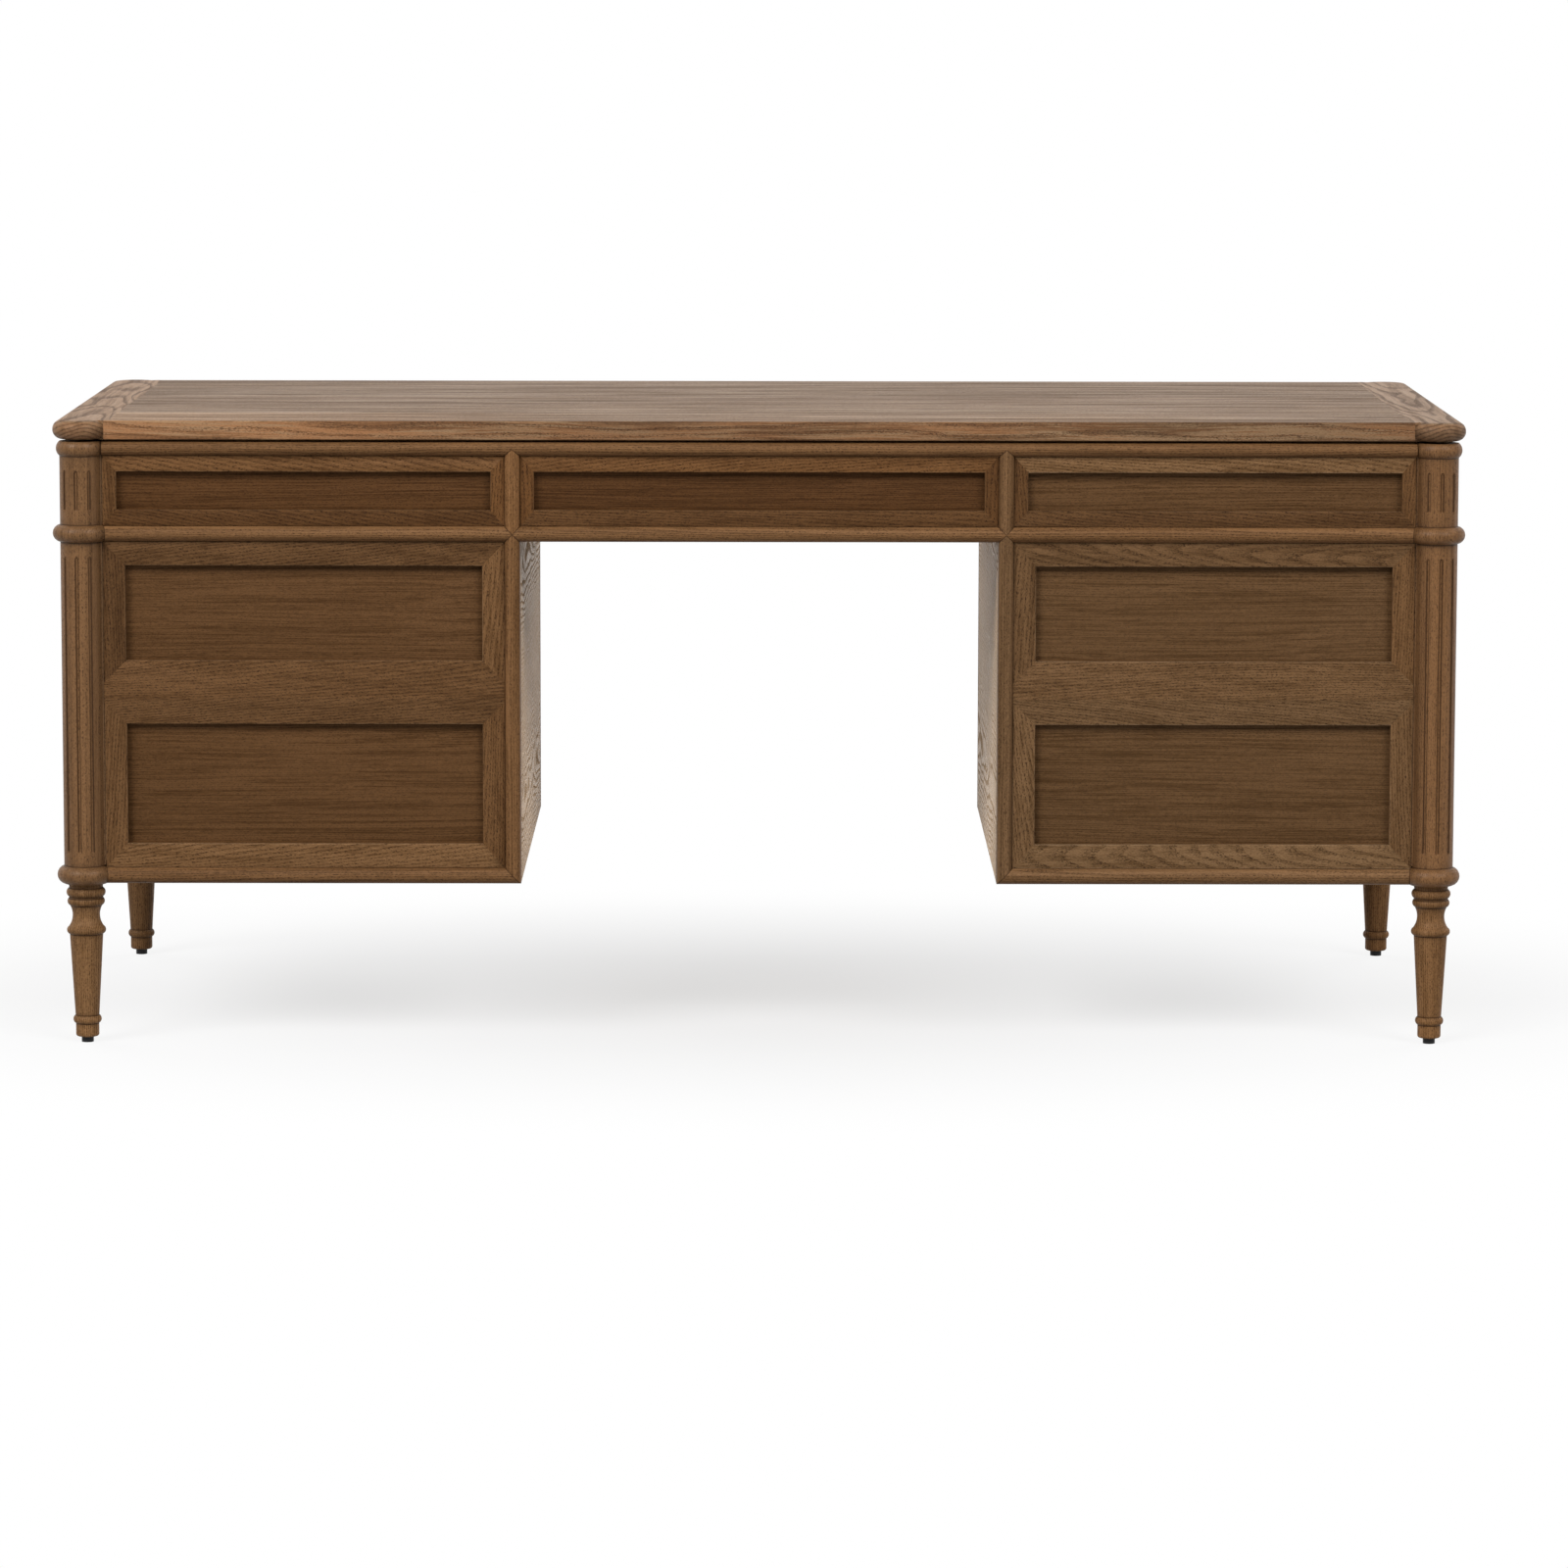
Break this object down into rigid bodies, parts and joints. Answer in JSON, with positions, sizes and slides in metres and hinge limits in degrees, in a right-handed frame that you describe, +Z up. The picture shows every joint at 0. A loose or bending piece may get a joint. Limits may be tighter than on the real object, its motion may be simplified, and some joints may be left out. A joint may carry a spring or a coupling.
{
  "type": "pedestal desk",
  "caption": "Panelled wooden pedestal desk with fluted corner columns, turned legs, an open kneehole and drawers that slide out towards the sitter.",
  "frame": {"origin": "on the floor under the middle of the desk", "axes": "+X along the width, to the right seen from the panelled visitor's side; +Y towards the sitter, the way the drawers open; +Z up"},
  "size_m": [1.712, 0.764, 0.762],
  "materials": {
    "oak_top": "brushed toasted oak, satin lacquer, greyer on top",
    "oak_frame": "brushed toasted oak, open dark pores, matt lacquer",
    "oak_panel": "brushed toasted oak, darker, level grain, matt lacquer",
    "oak_kneehole": "brushed toasted oak veneer, satin lacquer",
    "inner_wood": "bare sawn wood",
    "drawer_wood": "pale drawer wood, thin lacquer",
    "knob_wood": "turned oak, satin lacquer",
    "slide_steel": "zinc plated steel",
    "glide_plastic": "black moulded"
  },
  "bodies": {
    "case": {"column_visitor_left": "oak_frame", "column_visitor_right": "oak_frame", "column_sitter_right": "oak_frame", "column_sitter_left": "oak_frame", "leg_visitor_left": "oak_frame", "leg_visitor_right": "oak_frame", "leg_sitter_right": "oak_frame", "leg_sitter_left": "oak_frame", "glides": "glide_plastic", "top_field": "oak_top", "top_end_left": "oak_top", "top_end_right": "oak_top", "top_spacers": "inner_wood", "visitor_bead_rails": "oak_frame", "visitor_bead_posts": "oak_frame", "sitter_bead_rails": "oak_frame", "sitter_bead_posts": "oak_frame", "visitor_frames_upper": "oak_frame", "visitor_frame_lower_left": "oak_frame", "visitor_frame_lower_right": "oak_frame", "visitor_panels": "oak_panel", "end_frames_left": "oak_frame", "end_panels_left": "oak_panel", "end_rails_left": "oak_frame", "kneehole_panel_left": "oak_kneehole", "end_frames_right": "oak_frame", "end_panels_right": "oak_panel", "end_rails_right": "oak_frame", "kneehole_panel_right": "oak_kneehole", "pedestal_floors": "inner_wood", "slide_channels": "slide_steel", "slide_packers": "inner_wood"},
    "drawer_top_left": {"drawer_top_left_front": "oak_frame", "drawer_top_left_box": "drawer_wood", "drawer_top_left_slide_bars": "slide_steel", "drawer_top_left_knobs": "knob_wood"},
    "drawer_top_right": {"drawer_top_right_front": "oak_frame", "drawer_top_right_box": "drawer_wood", "drawer_top_right_slide_bars": "slide_steel", "drawer_top_right_knobs": "knob_wood"},
    "drawer_top_centre": {"drawer_top_centre_front": "oak_frame", "drawer_top_centre_box": "drawer_wood", "drawer_top_centre_slide_bars": "slide_steel", "drawer_top_centre_knobs": "knob_wood"},
    "drawer_left_upper": {"drawer_left_upper_front": "oak_frame", "drawer_left_upper_box": "drawer_wood", "drawer_left_upper_slide_bars": "slide_steel", "drawer_left_upper_knobs": "knob_wood"},
    "drawer_left_lower": {"drawer_left_lower_front": "oak_frame", "drawer_left_lower_box": "drawer_wood", "drawer_left_lower_slide_bars": "slide_steel", "drawer_left_lower_knobs": "knob_wood"},
    "drawer_right_upper": {"drawer_right_upper_front": "oak_frame", "drawer_right_upper_box": "drawer_wood", "drawer_right_upper_slide_bars": "slide_steel", "drawer_right_upper_knobs": "knob_wood"},
    "drawer_right_lower": {"drawer_right_lower_front": "oak_frame", "drawer_right_lower_box": "drawer_wood", "drawer_right_lower_slide_bars": "slide_steel", "drawer_right_lower_knobs": "knob_wood"}
  },
  "joints": [
    {"name": "drawer_top_left_slide", "type": "slide", "parent": "case", "child": "drawer_top_left", "axis": [0, 1, 0], "range_m": [0, 0.4]},
    {"name": "drawer_top_right_slide", "type": "slide", "parent": "case", "child": "drawer_top_right", "axis": [0, 1, 0], "range_m": [0, 0.4]},
    {"name": "drawer_top_centre_slide", "type": "slide", "parent": "case", "child": "drawer_top_centre", "axis": [0, 1, 0], "range_m": [0, 0.4]},
    {"name": "drawer_left_upper_slide", "type": "slide", "parent": "case", "child": "drawer_left_upper", "axis": [0, 1, 0], "range_m": [0, 0.4]},
    {"name": "drawer_left_lower_slide", "type": "slide", "parent": "case", "child": "drawer_left_lower", "axis": [0, 1, 0], "range_m": [0, 0.4]},
    {"name": "drawer_right_upper_slide", "type": "slide", "parent": "case", "child": "drawer_right_upper", "axis": [0, 1, 0], "range_m": [0, 0.4]},
    {"name": "drawer_right_lower_slide", "type": "slide", "parent": "case", "child": "drawer_right_lower", "axis": [0, 1, 0], "range_m": [0, 0.4]}
  ]
}
